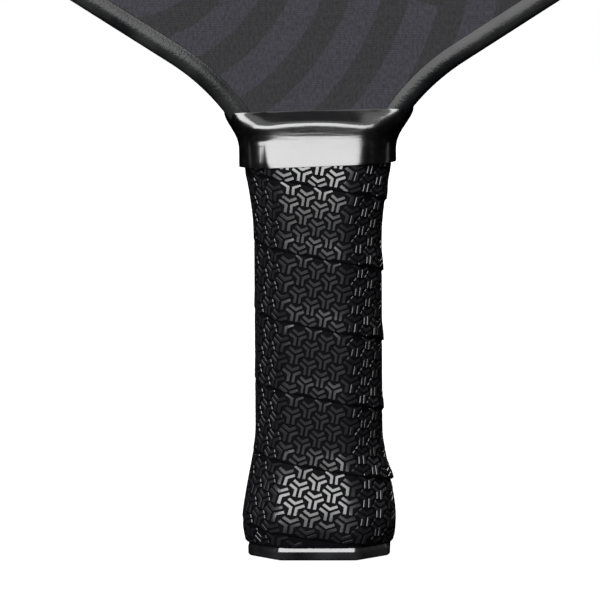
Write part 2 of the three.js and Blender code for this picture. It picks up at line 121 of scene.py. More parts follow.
class Graph:
    """The node tree of one material, ending in a Principled shader."""

    def __init__(self, name: str) -> None:
        """Makes an empty material.

        Args:
            name: the material's name.
        """
        self.material = bpy.data.materials.new(name)
        self.material.use_nodes = True
        self.tree = self.material.node_tree
        self.shader = next(n for n in self.tree.nodes if n.type == "BSDF_PRINCIPLED")

    def link(self, source: object, target: bpy.types.NodeSocket) -> None:
        """Sets a socket from a value, a wrapped socket, or a plain number or colour.

        Args:
            source: what the socket takes.
            target: the socket.
        """
        if isinstance(source, Value):
            self.tree.links.new(source.socket, target)
        elif isinstance(source, (tuple, list)) and len(source) == 3 and target.type == "RGBA":
            target.default_value = (*source, 1.0)
        else:
            target.default_value = source

    def node(
        self,
        kind: str,
        settings: dict[str, object] | None = None,
        inputs: dict[str | int, object] | list[object] | None = None,
        output: str | int = 0,
    ) -> Value:
        """Adds any node.

        Args:
            kind: the node's type.
            settings: its properties, set first.
            inputs: values or links, by socket name or position.
            output: the socket that is returned.

        Returns:
            The wrapped output socket.
        """
        made = self.tree.nodes.new(kind)
        for key, value in (settings or {}).items():
            setattr(made, key, value)
        pairs = enumerate(inputs) if isinstance(inputs, list) else (inputs or {}).items()
        for key, value in pairs:
            self.link(value, made.inputs[key])
        return Value(self, made.outputs[output])

    def place(self) -> Value:
        """Object coordinates."""
        return self.node("ShaderNodeTexCoord", output="Object")

    def axes(self, vector: Value) -> tuple[Value, Value, Value]:
        """A vector's three components.

        Args:
            vector: the vector.

        Returns:
            Its x, y and z.
        """
        first = self.node("ShaderNodeSeparateXYZ", inputs=[vector])
        outputs = first.socket.node.outputs
        return first, Value(self, outputs[1]), Value(self, outputs[2])

    def noise(self, scale: float, detail: float = 3.0, at: Value | None = None) -> Value:
        """Fractal noise from 0 to 1.

        Args:
            scale: cells per metre.
            detail: octaves.
            at: where it is read, or Object coordinates.

        Returns:
            The noise value.
        """
        inputs = {"Vector": at or self.place(), "Scale": scale, "Detail": detail}
        return self.node("ShaderNodeTexNoise", inputs=inputs)

    def stretched(self, *scale: float) -> Value:
        """Object coordinates scaled by axis."""
        return self.node("ShaderNodeMapping", inputs={"Vector": self.place(), "Scale": scale})

    def mix(self, share: Value | float, first: object, second: object, blend: str = "MIX") -> Value:
        """Two colours mixed.

        Args:
            share: how much of the second.
            first: a colour or a link.
            second: a colour or a link.
            blend: how they mix.

        Returns:
            The mixed colour.
        """
        made = self.tree.nodes.new("ShaderNodeMix")
        made.data_type = "RGBA"
        made.blend_type = blend
        self.link(share, made.inputs[0])
        self.link(first, made.inputs[6])
        self.link(second, made.inputs[7])
        return Value(self, made.outputs[2])

    def bump(self, height: Value, distance: float) -> None:
        """Raises the surface by a height field.

        Args:
            height: the field.
            distance: metres that a height of 1 stands for.
        """
        inputs = {"Height": height, "Distance": distance, "Strength": 1.0}
        self.link(self.node("ShaderNodeBump", inputs=inputs), self.shader.inputs["Normal"])

    def set(self, **sockets: object) -> None:
        """Sets the shader's sockets; an underscore in a name stands for a space."""
        for name, value in sockets.items():
            self.link(value, self.shader.inputs[name.replace("_", " ")])


# ---- finishes


@dataclass(frozen=True)
class Finish:
    """A plain moulded or sheet material with a little variation."""

    name: str
    colour: Colour
    roughness: float
    metallic: float = 0.0
    specular: float = 0.5
    variation: float = 0.12
    grain: float = 900.0
    relief: float = 0.00002

    def build(self) -> bpy.types.Material:
        """Makes the material.

        Returns:
            The finished material.
        """
        graph = Graph(self.name)
        cloud = graph.noise(60.0, 4.0)
        fine = graph.noise(self.grain, 2.0)
        lighter = tuple(min(1.0, c * (1 + 2 * self.variation) + 0.01) for c in self.colour)
        darker = tuple(c * (1 - self.variation) for c in self.colour)
        graph.set(
            Base_Color=graph.mix(cloud.step(0.3, 0.7), darker, lighter),
            Roughness=(fine - 0.5) * 0.12 + (cloud - 0.5) * 0.1 + self.roughness,
            Metallic=self.metallic,
            Specular_IOR_Level=self.specular,
        )
        graph.bump(fine, self.relief)
        return graph.material


@dataclass(frozen=True)
class PrintedLaminate:
    """Matt woven laminate printed with rings of indigo grey on charcoal."""

    dark: Colour = (0.0092, 0.0089, 0.0097)
    light: Colour = (0.0134, 0.0129, 0.0168)
    centre: tuple[float, float] = (-52 * MM, 176 * MM)
    period: float = 15.4 * MM
    light_share: float = 0.53
    ring_edge: float = 0.018  # how soft a ring's edge is, of a period
    phase: float = 3.4 * MM  # where the first light ring starts
    gap_turn: float = 2.1  # how far the gap in a ring moves on from one ring to the next
    gap_first: float = 0.496
    gap_swing: float = 0.47
    gap_middle: float = 0.55
    gap_half: tuple[float, float] = (0.355, 0.36)
    thread: float = 0.62 * MM
    weave_relief: float = 0.00006

    def build(self) -> bpy.types.Material:
        """Makes the material.

        Returns:
            The finished material.
        """
        graph = Graph("printed_laminate")
        x, _, z = graph.axes(graph.place())
        wander = (graph.noise(14.0, 1.0) - 0.5) * (0.6 * MM)
        away_x = x - self.centre[0]
        away_z = z - self.centre[1]
        radius = (away_x * away_x + away_z * away_z).root() + wander
        turn = ((radius - self.phase) % self.period) / self.period
        share, edge = self.light_share, self.ring_edge
        ring = turn.step(0, edge) * (1 - turn.step(share, share + edge))
        row = ((radius - self.phase) / self.period).floor()
        gap_at = (row * self.gap_turn + self.gap_first).sine() * self.gap_swing + self.gap_middle
        ring = ring * (away_z.angle(away_x) - gap_at).size().step(*self.gap_half)
        sway = graph.noise(300.0, 2.0, graph.stretched(0.3, 0.3, 1.0))
        rows = (z * (2 * math.pi / self.thread) + sway * 7).sine() * (sway * 0.9 + 0.1)
        threads = graph.noise(1500.0, 2.0, graph.stretched(1.0, 1.0, 0.5))
        slub = graph.noise(160.0, 3.0, graph.stretched(0.4, 0.4, 1.6))
        fleck = graph.noise(2600.0, 2.0)
        weave = rows * 0.15 + threads - 0.5
        cloud = graph.noise(18.0, 3.0)
        tone = weave * 1.2 + (slub - 0.5) * 0.3 + (fleck - 0.5) * 0.5 + (cloud - 0.5) * 0.25 + 0.5
        base = graph.mix(ring, self.dark, self.light)
        shade = graph.mix(tone.step(0.1, 0.9), (0.58, 0.58, 0.60), (1.5, 1.5, 1.5))
        graph.set(
            Base_Color=graph.mix(1.0, base, shade, "MULTIPLY"),
            Roughness=(slub - 0.5) * 0.15 + (1 - ring) * 0.04 + 0.62,
            Specular_IOR_Level=0.12,
        )
        graph.bump(weave * 0.5 + fleck * 0.4 + slub * 0.8, self.weave_relief)
        return graph.material


@dataclass(frozen=True)
class GripSkin:
    """Soft black polyurethane: slightly glossy on the raised bars, dull in the grooves, whose colour is
    darkened as painted shade.
    """

    # floor: the grooves' colour, darker than the bars' as painted shade in the recesses; raised: the bars'
    # own colour
    floor: Colour = (0.0016, 0.0016, 0.002)
    raised: Colour = (0.0045, 0.0045, 0.0052)

    def build(self) -> bpy.types.Material:
        """Makes the material.

        Returns:
            The finished material.
        """
        graph = Graph("grip_skin")
        height = graph.node("ShaderNodeAttribute", {"attribute_name": "relief"}, output="Fac")
        pores = graph.noise(5200.0, 2.0)
        rub = graph.noise(45.0, 4.0)
        graph.set(
            # painted shade: the base colour darkens from the bars' tops down into the grooves, by the relief
            # height
            Base_Color=graph.mix(height, self.floor, self.raised),
            Roughness=(rub - 0.5) * 0.16 + (pores - 0.5) * 0.1 + 0.6,
            Specular_IOR_Level=0.02,
            Coat_Weight=height.step(0.45, 0.95) * ((rub - 0.5) * 0.5 + 0.9),
            Coat_Roughness=0.27,
        )
        graph.bump(pores + graph.noise(1300.0, 2.0) * 0.8, 0.00003)
        return graph.material


@dataclass(frozen=True)
class StretchedVinyl:
    """High-gloss black vinyl with faint pull lines round the neck."""

    colour: Colour = (0.0012, 0.0012, 0.0014)

    def build(self) -> bpy.types.Material:
        """Makes the material.

        Returns:
            The finished material.
        """
        graph = Graph("stretched_vinyl")
        pull = graph.noise(55.0, 3.0, graph.stretched(0.35, 0.35, 4.0))
        grime = graph.noise(420.0, 3.0)
        graph.set(
            Base_Color=graph.mix(grime.step(0.45, 0.8), self.colour, (0.003, 0.003, 0.0033)),
            Roughness=(grime - 0.5) * 0.06 + (pull - 0.5) * 0.08 + 0.215,
            Specular_IOR_Level=0.62,
        )
        graph.bump(pull + graph.noise(300.0, 2.0) * 0.06, 0.00022)
        return graph.material


@dataclass(frozen=True)
class PlainFinishes:
    """The plain finishes, one for each hidden or small part."""

    core: Finish = Finish("polypropylene", (0.72, 0.74, 0.75), 0.42, variation=0.05)
    film: Finish = Finish("bond_film", (0.6, 0.56, 0.4), 0.4)
    tape: Finish = Finish("adhesive_tape", (0.78, 0.76, 0.7), 0.7, variation=0.05)
    pallet: Finish = Finish("handle_foam", (0.022, 0.023, 0.026), 0.8, grain=1800, relief=0.00008)
    cushion: Finish = Finish("cushion_felt", (0.04, 0.04, 0.041), 0.95, grain=2600, relief=0.0002)
    guard: Finish = Finish(
        "guard_plastic", (0.0022, 0.0024, 0.0027), 0.19, specular=0.11, grain=1500, relief=0.00003)
    cap: Finish = Finish("cap_plastic", (0.0025, 0.0025, 0.003), 0.16, specular=0.55, relief=0.000008)
    badge: Finish = Finish("badge_vinyl", (0.04, 0.038, 0.055), 0.32)
    steel: Finish = Finish("staple_steel", (0.55, 0.56, 0.57), 0.32, metallic=1.0, grain=4000)


# ---- modelling helpers


def clear_selection() -> None:
    """Leaves edit mode and deselects everything."""
    if bpy.context.object and bpy.context.object.mode != "OBJECT":
        bpy.ops.object.mode_set(mode="OBJECT")
    bpy.ops.object.select_all(action="DESELECT")


def focus(piece: bpy.types.Object) -> None:
    """Selects one object and makes it active.

    Args:
        piece: the object.
    """
    clear_selection()
    piece.select_set(True)
    bpy.context.view_layer.objects.active = piece


def points_of(piece: bpy.types.Object) -> Array:
    """A mesh's vertices as an array of rows.

    Args:
        piece: the object.

    Returns:
        Rows of x, y and z.
    """
    flat = np.empty(len(piece.data.vertices) * 3)
    piece.data.vertices.foreach_get("co", flat)
    return flat.reshape(-1, 3)


def move_points(piece: bpy.types.Object, points: Array) -> None:
    """Writes a mesh's vertices back."""
    piece.data.vertices.foreach_set("co", points.astype(np.float32).ravel())
    piece.data.update()


def in_edit_mode(piece: bpy.types.Object, *steps: Callable[[], object]) -> None:
    """Runs operators on the whole mesh in edit mode.

    Args:
        piece: the object.
        steps: the operators, in order.
    """
    focus(piece)
    bpy.ops.object.mode_set(mode="EDIT")
    bpy.ops.mesh.select_all(action="SELECT")
    for step in steps:
        step()
    bpy.ops.object.mode_set(mode="OBJECT")


def apply_modifier(piece: bpy.types.Object, kind: str, **settings: object) -> None:
    """Adds a modifier and applies it.

    Args:
        piece: the object.
        kind: the modifier's type.
        settings: its properties.
    """
    focus(piece)
    modifier = piece.modifiers.new(kind.lower(), kind)
    for key, value in settings.items():
        setattr(modifier, key, value)
    bpy.ops.object.modifier_apply(modifier=modifier.name)


def laid_grid(
    name: str, columns: int, rows: int, place: Callable[[Array, Array], Array], merge: float = 1e-6
) -> bpy.types.Object:
    """A flat grid whose points are laid on a form.

    Args:
        name: the object's name.
        columns: cells along u.
        rows: cells along v.
        place: gives the points' places from u and v, each from 0 to 1.
        merge: points closer than this become one, which closes seams; 0 leaves them.

    Returns:
        The new object, at the origin.
    """
    clear_selection()
    middle = (0.5, 0.5, 0)
    bpy.ops.mesh.primitive_grid_add(x_subdivisions=columns, y_subdivisions=rows, size=1.0, location=middle)
    piece = bpy.context.object
    bpy.ops.object.transform_apply(location=True)
    flat = points_of(piece)
    move_points(piece, place(flat[:, 0], flat[:, 1]))
    piece.name = name
    piece.data.name = name
    if merge > 0:
        in_edit_mode(piece, lambda: bpy.ops.mesh.remove_doubles(threshold=merge))
    in_edit_mode(piece, lambda: bpy.ops.mesh.normals_make_consistent(inside=False))
    face_outward(piece)
    return piece


def face_outward(piece: bpy.types.Object) -> None:
    """Turns an open shell's faces round if most of them look towards its middle.

    Args:
        piece: the shell.
    """
    middle = Vector(points_of(piece).mean(0))
    side = sum((face.center - middle).dot(face.normal) * face.area for face in piece.data.polygons)
    if side < 0:
        in_edit_mode(piece, bpy.ops.mesh.flip_normals)


def smooth(piece: bpy.types.Object, degrees: float = 35.0) -> None:
    """Smooth shading with edges sharper than an angle kept."""
    focus(piece)
    bpy.ops.object.shade_smooth_by_angle(angle=math.radians(degrees))


def dress(piece: bpy.types.Object, material: bpy.types.Material) -> None:
    """Gives a mesh one material."""
    piece.data.materials.clear()
    piece.data.materials.append(material)


def install(piece: bpy.types.Object, slot: str, *nodes: str) -> None:
    """Fixes a finished piece to the frame in place of CAD nodes.

    Args:
        piece: the object.
        slot: the record's material slot; not used.
        nodes: the CAD nodes it stands for.
    """
    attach(piece, "root")
    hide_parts(*nodes)
    LOG.info("%s stands for %s: %d faces", piece.name, ", ".join(nodes), len(piece.data.polygons))


def eased(values: Array, low: float, high: float) -> Array:
    """A smooth step from 0 at low to 1 at high."""
    share = np.clip((values - low) / (high - low), 0, 1)
    return share * share * (3 - 2 * share)


def bell(reach: int, width: float) -> Array:
    """Weights of a smooth average over 2 * reach + 1 neighbours."""
    weights = np.exp(-0.5 * (np.arange(-reach, reach + 1) / width) ** 2)
    return weights / weights.sum()


# ---- forms shared by the pieces


@dataclass(frozen=True)
class PanelOutline:
    """The sandwich panel's outline, up to the guard."""

    tongue_half: float = 11.6 * MM
    neck_corner: float = 120.2 * MM
    neck_radius: float = 60 * MM
    lean: float = math.radians(57.5)
    edge: float = 98.4 * MM
    shoulder_radius: float = 40 * MM
    top: float = 398.4 * MM
    top_radius: float = 46 * MM
    crown_drop: float = 7 * MM

    def neck_half(self, z: Array) -> Array:
        """Half the panel's width at heights in the neck.

        Args:
            z: heights.

        Returns:
            Half the widths.
        """
        start = self.neck_corner - self.neck_radius * math.tan(self.lean / 2)
        rise = np.clip(z - start, 0, self.neck_radius * math.sin(self.lean))
        return self.tongue_half + self.neck_radius - np.sqrt(self.neck_radius**2 - rise**2)

    def corners(self) -> list[tuple[float, float, float]]:
        """The right side's corners with their radii, going up.

        Returns:
            Each corner's x, height and radius.
        """
        shoulder = self.neck_corner + (self.edge - self.tongue_half) / math.tan(self.lean)
        return [
            (self.tongue_half, 0.0, 0.0),
            (self.tongue_half, self.neck_corner, self.neck_radius),
            (self.edge, shoulder, self.shoulder_radius),
            (self.edge, self.top - self.crown_drop, self.top_radius),
        ]

    def path(self, step: float) -> Array:
        """The outline from the right of the tongue over the top to the left.

        Args:
            step: the distance between points.

        Returns:
            Rows of x and z, evenly spaced.
        """
        corners = self.corners()
        right: list[tuple[float, float]] = []
        ends = [*corners[1:], (0.0, self.top, 0.0)]
        for (x0, z0, _), (x1, z1, radius), (x2, z2, _) in zip(corners, ends[:-1], ends[1:]):
            into = Vector((x1 - x0, z1 - z0)).normalized()
            away = Vector((x2 - x1, z2 - z1)).normalized()
            turn = into.angle_signed(away)
            reach = radius * abs(math.tan(turn / 2))
            side = 1 if into.cross(away) > 0 else -1
            start = Vector((x1, z1)) - into * reach
            middle = start + Vector((-into.y, into.x)) * side * radius
            steps = max(6, int(abs(turn) * radius / step))
            for k in range(steps + 1):
                angle = side * abs(turn) * k / steps
                arm = start - middle
                c, s = math.cos(angle), math.sin(angle)
                right.append((middle.x + arm.x * c - arm.y * s, middle.y + arm.x * s + arm.y * c))
        last_x, last_z = right[-1]
        bend, crown_steps = math.radians(20), 24
        for k in range(1, crown_steps):
            share = k / crown_steps
            lift = (math.cos(bend * (1 - share)) - math.cos(bend)) / (1 - math.cos(bend))
            right.append((last_x * (1 - share), last_z + (self.top - last_z) * lift))
        rows = np.array([(corners[0][0], corners[0][1]), *right, (0.0, self.top)])
        rows = np.vstack([rows, np.column_stack([-rows[-2::-1, 0], rows[-2::-1, 1]])])
        keep = np.concatenate([[True], np.hypot(*np.diff(rows, axis=0).T) > 1e-6])
        rows = rows[keep]
        along = np.concatenate([[0], np.cumsum(np.hypot(*np.diff(rows, axis=0).T))])
        even = np.linspace(0, along[-1], int(along[-1] / step))
        return np.column_stack([np.interp(even, along, rows[:, 0]), np.interp(even, along, rows[:, 1])])


@dataclass
class HandleForm:
    """The bare eight-sided handle, as a table of points by height and by the way round it."""

    width: float = 31.2 * MM
    thickness: float = 25.4 * MM
    chamfer: float = 6.9 * MM
    chamfer_growth: float = 0.3
    top: float = 121.3 * MM
    neck_length: float = 33 * MM
    neck_growth: float = 6.2 * MM
    neck_power: float = 1.6
    neck_thinning: float = 1.3 * MM
    taper: tuple[float, float] = (91 * MM, 112 * MM)  # where the front and back start and stop drawing in
    side_flare: tuple[tuple[float, float], ...] = (
        (3.4, 2.6), (6, 3.4), (9, 3.8), (14, 3.4), (20, 2.4), (26, 1.2), (32, 0.1), (34, 0.0))
    face_flare: tuple[tuple[float, float], ...] = (
        (3.4, 2.2), (6, 2.9), (9, 3.2), (13.2, 2.95), (16, 2.25), (20, 1.2), (24, 0.25), (28.5, 0.0))
    rounding: float = 2.0 * MM
    columns: int = 720
    rows: int = 260
    heights: Array = field(init=False)
    base: Array = field(init=False)
    outward: Array = field(init=False)

    def __post_init__(self) -> None:
        """Fills the tables of surface points and outward directions."""
        self.heights = np.linspace(-2 * MM, 128 * MM, self.rows)
        rings = np.array([self._ring(z) for z in self.heights])
        reach = int(self.rounding / (PERIMETER / self.columns))
        kernel = np.ones(2 * reach + 1) / (2 * reach + 1)
        for _ in range(2):
            wrapped = np.concatenate([rings[:, -reach:], rings, rings[:, :reach]], axis=1)
            rings = np.stack([[np.convolve(row[:, a], kernel, "valid") for a in (0, 1)] for row in wrapped])
            rings = rings.transpose(0, 2, 1)
        smoothing = bell(9, 3.2)
        padded = np.concatenate([rings[:1].repeat(9, 0), rings, rings[-1:].repeat(9, 0)])
        rings = sum(weight * padded[k : k + self.rows] for k, weight in enumerate(smoothing))
        self.base = np.concatenate([rings, rings[:, :1]], axis=1)
        tangent = np.roll(rings, -1, 1) - np.roll(rings, 1, 1)
        outward = np.stack([tangent[..., 1], -tangent[..., 0]], axis=-1)
        outward /= np.linalg.norm(outward, axis=-1, keepdims=True)
        self.outward = np.concatenate([outward, outward[:, :1]], axis=1)

    def grown(self, z: float) -> tuple[float, float]:
        """How far each side and each face are out from the straight handle's, at a height.

        Args:
            z: the height.

        Returns:
            The sides' distance and the faces'.
        """
        share = min(1.0, max(0.0, (z - (self.top - self.neck_length)) / self.neck_length))
        if share > 0:
            fall = float(eased(np.array(z), *self.taper))
            return self.neck_growth * share**self.neck_power, -self.neck_thinning * fall
        sides, faces = np.array(self.side_flare) * MM, np.array(self.face_flare) * MM
        return float(np.interp(z, sides[:, 0], sides[:, 1])), float(np.interp(z, faces[:, 0], faces[:, 1]))

    def _ring(self, z: float) -> Array:
        """The eight-sided outline at a height, anticlockwise from the middle of the right side.

        Args:
            z: the height.

        Returns:
            Rows of x and y, one for each column.
        """
        wide, thick = self.grown(z)
        half, deep = self.width / 2 + wide, self.thickness / 2 + thick
        leg_x = self.chamfer + self.chamfer_growth * wide
        leg_y = leg_x if thick >= 0 else self.chamfer - 0.25 * wide
        one = [(half, deep - leg_y), (half - leg_x, deep)]
        rear = [*one, *[(-x, y) for x, y in reversed(one)]]
        front = [(x, -y) for x, y in reversed(rear)]
        corners = [(half, 0.0), *rear, (-half, 0.0), *front, (half, 0.0)]
        straight_x = [self.width / 2, self.width / 2, self.width / 2 - self.chamfer]
        straight_y = [0.0, self.thickness / 2 - self.chamfer, self.thickness / 2]
        quarter = [0.0, straight_y[1], straight_y[1] + math.hypot(self.chamfer, self.chamfer)]
        full = quarter[-1] + straight_x[2]
        marks = np.array([*quarter, *[2 * full - q for q in reversed(quarter)]])
        marks = np.concatenate([marks, marks[1:] + 2 * full])
        marks /= marks[-1]
        share = np.arange(self.columns) / self.columns
        table = np.array(corners)
        return np.column_stack([np.interp(share, marks, table[:, 0]), np.interp(share, marks, table[:, 1])])

    def at(self, around: Array, z: Array, out: Array) -> Array:
        """Points off the handle's surface.

        Args:
            around: turns anticlockwise from above, from the middle of the right side.
            z: heights.
            out: distances outwards.

        Returns:
            Rows of x, y and z.
        """
        column = (np.asarray(around) % 1.0) * self.columns
        row = np.clip((z - self.heights[0]) / (self.heights[1] - self.heights[0]), 0, self.rows - 1.001)
        c0, r0 = column.astype(int), row.astype(int)
        cf, rf = (column - c0)[:, None], (row - r0)[:, None]

        def read(table: Array) -> Array:
            """A table's value between four neighbours.

            Args:
                table: one value for each height and column.

            Returns:
                The values.
            """
            low = table[r0, c0] * (1 - cf) + table[r0, c0 + 1] * cf
            high = table[r0 + 1, c0] * (1 - cf) + table[r0 + 1, c0 + 1] * cf
            return low * (1 - rf) + high * rf

        flat = read(self.base) + read(self.outward) * np.asarray(out)[:, None]
        return np.column_stack([flat, z])


# ---- grip


@dataclass
class GripWrap:
    """The grip: one tape of embossed skin on foam, wound up the handle, each turn lapping the one below."""

    handle: HandleForm
    pitch: float = 19.4 * MM
    lap: float = 3.2 * MM
    start: float = 4.1 * MM
    end: float = 114.4 * MM
    seam_front: float = 102.9 * MM  # height of a seam at the middle of the front
    under: float = 1.22 * MM  # the skin's inner side off the bare handle
    cushion: float = 1.16 * MM
    bedding: float = 0.04 * MM
    skin: float = 0.5 * MM
    edge: float = 0.3 * MM  # rounding of the tape's lower edge
    step: float = 0.36 * MM  # rise over the turn below, half way between the left and the right
    step_left: float = 0.35  # the share of it that is left on the left
    step_flat: float = 0.8 * MM
    step_run: float = 6.5 * MM
    butt_step: float = 0.35 * MM  # more of a step in the lowest turn
    butt_turn: tuple[float, float] = (21 * MM, 31 * MM)
    settling: tuple[float, float] = (3 * MM, 9 * MM)  # where the steps start above the cap
    tuck: float = 0.2 * MM
    pressed: float = 0.95
    press: tuple[float, float] = (106.5 * MM, 117.0 * MM)
    columns: int = 1100
    rows: int = 20
    motif: float = 5.0 * MM
    motif_rise: float = 0.9 * MM
    groove: float = 0.42 * MM
    bar: float = 0.95 * MM
    arm: float = 2.15 * MM
    relief: float = 0.30 * MM
    bevel: float = 0.13 * MM
    sunk: float = 0.04 * MM
    margins: tuple[float, float] = (0.35 * MM, 0.02 * MM)  # between the bars and the turn's visible edges
    whole_share: float = 0.45  # how much of a bar has to be inside for it to be kept
    emboss_end: float = 111.5 * MM

    @property
    def slope(self) -> float:
        """The winding's angle from level."""
        return math.atan2(self.pitch, PERIMETER)

    @property
    def tape(self) -> float:
        """The tape's width, square to its length."""
        return (self.pitch + self.lap) * math.cos(self.slope)

    def settled(self, z: Array) -> Array:
        """How much of its thickness the grip keeps at a height: it is pressed thin under the band."""
        return 1 - self.pressed * eased(z, *self.press)

    def lift(self, u: Array, v: Array) -> Array:
        """How far the tape stands out at a place on it, as it climbs over the turn below.

        Args:
            u: distances along the tape.
            v: distances up across it.

        Returns:
            The distances outwards.
        """
        edge_height = self.seam_front + u * math.sin(self.slope)
        around = 0.75 - u * math.cos(self.slope) / PERIMETER
        right = 0.5 + 0.5 * np.cos(2 * math.pi * around)
        butt = self.butt_step * right**2 * (1 - eased(edge_height, *self.butt_turn))
        rise = self.step * (self.step_left + right) + butt
        settled = eased(edge_height + v * math.cos(self.slope), *self.settling)
        climb = rise * (1 - eased(v, self.step_flat, self.step_run)) * settled
        tucked = self.tuck * eased(v, self.tape - 1.4 * self.lap, self.tape - 0.6 * self.lap)
        return climb - tucked

    def wind(self, u: Array, v: Array, out: Array) -> Array:
        """Winds flat points of the tape round the handle.

        Args:
            u: distances along the tape from where its lower edge is at seam_front on the front.
            v: distances above the lower edge.
            out: distances off the bare handle.

        Returns:
            Rows of x, y and z.
        """
        c, s = math.cos(self.slope), math.sin(self.slope)
        around = 0.75 + (-u * c + v * s) / PERIMETER
        z = self.seam_front + u * s + v * c
        return self.handle.at(around, z, out * self.settled(z))

    def ends(self) -> tuple[float, float]:
        """The flat u at which the tape's run starts and ends.

        Returns:
            Both distances along the tape.
        """
        low = (self.start - self.tape - self.seam_front) / math.sin(self.slope)
        high = (self.end - self.seam_front) / math.sin(self.slope)
        return low, high

    def build_skin(self) -> bpy.types.Object:
        """Makes the smooth tape, lapped and stepped.

        Returns:
            The tape, closed with a thickness.
        """
        low, high = self.ends()
        edge = self.edge

        def lay(u: Array, v: Array) -> Array:
            """Lays the grid on the wound tape, closer together at the lower edge.

            Args:
                u: shares of the way along the tape.
                v: shares of the way across it.

            Returns:
                Rows of x, y and z.
            """
            across = self.tape * (0.35 * v + 0.65 * v**2)
            rounded = edge * np.sqrt(np.clip(1 - ((edge - across) / edge).clip(0, 1) ** 2, 0, 1))
            along = low + (high - low) * u
            out = self.under + self.skin + self.lift(along, across)
            return self.wind(along, across, out - np.where(across < edge, edge - rounded, 0))

        piece = laid_grid("grip_wrap", self.columns, self.rows, lay, 0)
        for level, side in ((self.start, "clear_inner"), (self.end, "clear_outer")):
            self._cut_level(piece, level, side)
        apply_modifier(piece, "SOLIDIFY", thickness=self.skin, offset=-1)
        return piece

    def _cut_level(self, piece: bpy.types.Object, level: float, side: str) -> None:
        """Cuts the winding off level at a height, clearing one side.

        Args:
            piece: the winding.
            level: the height.
            side: the cutting operator's name for the side that goes.
        """
        in_edit_mode(
            piece,
            lambda: bpy.ops.mesh.bisect(plane_co=(0, 0, level), plane_no=(0, 0, 1), **{side: True}),
        )

    def bar_tool(self) -> bpy.types.Object:
        """One bent bar of the embossing, flat, with its bend at the origin and opening upwards.

        Returns:
            The bar.
        """
        clear_selection()
        bpy.ops.mesh.primitive_plane_add(size=1.0)
        piece = bpy.context.object
        c, s = math.cos(math.radians(30)), math.sin(math.radians(30))
        half = self.bar / 2
        in_edit_mode(piece, lambda: bpy.ops.mesh.subdivide(number_cuts=1))
        rows = points_of(piece)
        for k, (x, y, _) in enumerate(rows):
            edge = -1 if y < -0.1 else 1 if y > 0.1 else 0
            if abs(x) < 0.1:
                rows[k] = (0, edge * half / c, 0)
            else:
                right = 1 if x > 0 else -1
                rows[k] = (right * (c * self.arm - s * half * edge), s * self.arm + c * half * edge, 0)
        move_points(piece, rows)
        bevel, wall = self.bevel, self.relief - self.bevel
        in_edit_mode(
            piece,
            lambda: bpy.ops.mesh.extrude_region_move(TRANSFORM_OT_translate={"value": (0, 0, wall)}),
            lambda: bpy.ops.mesh.extrude_region_move(TRANSFORM_OT_translate={"value": (0, 0, bevel)}),
        )
        rows = points_of(piece)
        top = rows[:, 2] > self.relief - bevel / 2
        rows[top, :2] = self._drawn_in(rows[top, 0], rows[top, 1])
        move_points(piece, rows)
        return piece

    def _drawn_in(self, x: Array, y: Array) -> Array:
        """The bar's top face drawn in from its edges, by the bevel.

        Args:
            x: the face's points along x.
            y: and along y.

        Returns:
            Rows of x and y.
        """
        c, s = math.cos(math.radians(30)), math.sin(math.radians(30))
        inner = 1 - 2 * self.bevel / self.bar
        tip = np.abs(x) * c + y * s > self.arm * 0.8
        middle_x = np.where(tip, np.sign(x) * self.arm * c, 0)
        middle_y = np.where(tip, self.arm * s, 0)
        x = middle_x + (x - middle_x) * inner - np.where(tip, np.sign(x) * self.bevel * c, 0)
        y = middle_y + (y - middle_y) * inner - np.where(tip, self.bevel * s, 0)
        return np.column_stack([x, y])

    def _places(self) -> list[tuple[float, float]]:
        """Where the threes of bars stand on the flat tape.

        Returns:
            Each three's place along and across the tape.
        """
        low, high = self.ends()
        pitch_u = self.motif * math.sin(math.radians(60))
        places = []
        for i in range(int(low / pitch_u) - 1, int(high / pitch_u) + 2):
            for j in range(-1, int(self.tape / self.motif) + 2):
                u, v = i * pitch_u, (j + (0.5 if i % 2 else 0.0)) * self.motif + self.motif_rise
                z = self.seam_front + u * math.sin(self.slope) + v * math.cos(self.slope)
                if self.start - self.motif < z < self.end + self.motif:
                    places.append((u, v))
        return places

    def build_embossing(self) -> bpy.types.Object:
        """Repeats the bar in threes over the flat tape and winds it round the handle.

        Returns:
            All the bars as one mesh.
        """
        tool = self.bar_tool()
        rows = points_of(tool)
        faces = [tuple(p.vertices) for p in tool.data.polygons]
        rise = (self.groove / 2 + self.bar / 2) / math.sin(math.radians(60))
        three = []
        for turn in (0, 120, 240):
            c, s = math.cos(math.radians(turn)), math.sin(math.radians(turn))
            x, y = rows[:, 0], rows[:, 1] + rise
            three.append(np.column_stack([x * c - y * s, x * s + y * c, rows[:, 2]]))
        places = np.array(self._places())
        shift = places.repeat(len(rows) * len(three), 0)
        u, v, h = np.tile(np.vstack(three), (len(places), 1)).T
        u, v = u + shift[:, 0], v + shift[:, 1]
        visible = self.pitch * math.cos(self.slope)
        z = self.seam_front + u * math.sin(self.slope) + v * math.cos(self.slope)
        lowest = self.start + 0.1 * MM
        inside = (v > 0.3 * MM) & (v < visible - 0.2 * MM) & (z > lowest) & (z < self.emboss_end)
        whole = inside.reshape(-1, len(rows)).mean(1) > self.whole_share
        keep = whole.repeat(len(rows))
        v = np.clip(v, self.margins[0], visible - self.margins[1])
        out = self.under + self.skin + self.lift(u, v) + h - self.sunk
        points = self.wind(u, v, out)[keep]
        points[:, 2] = np.maximum(points[:, 2], lowest)
        mesh = bpy.data.meshes.new("embossing")
        every = [tuple(i + b * len(rows) for i in face) for b in range(int(whole.sum())) for face in faces]
        mesh.from_pydata(points.tolist(), [], every)
        piece = bpy.data.objects.new("embossing", mesh)
        bpy.context.scene.collection.objects.link(piece)
        self._mark_relief(piece, h[keep] / self.relief)
        bpy.data.objects.remove(tool)
        in_edit_mode(piece, lambda: bpy.ops.mesh.normals_make_consistent(inside=False))
        LOG.info("embossing: %d bars", whole.sum())
        return piece

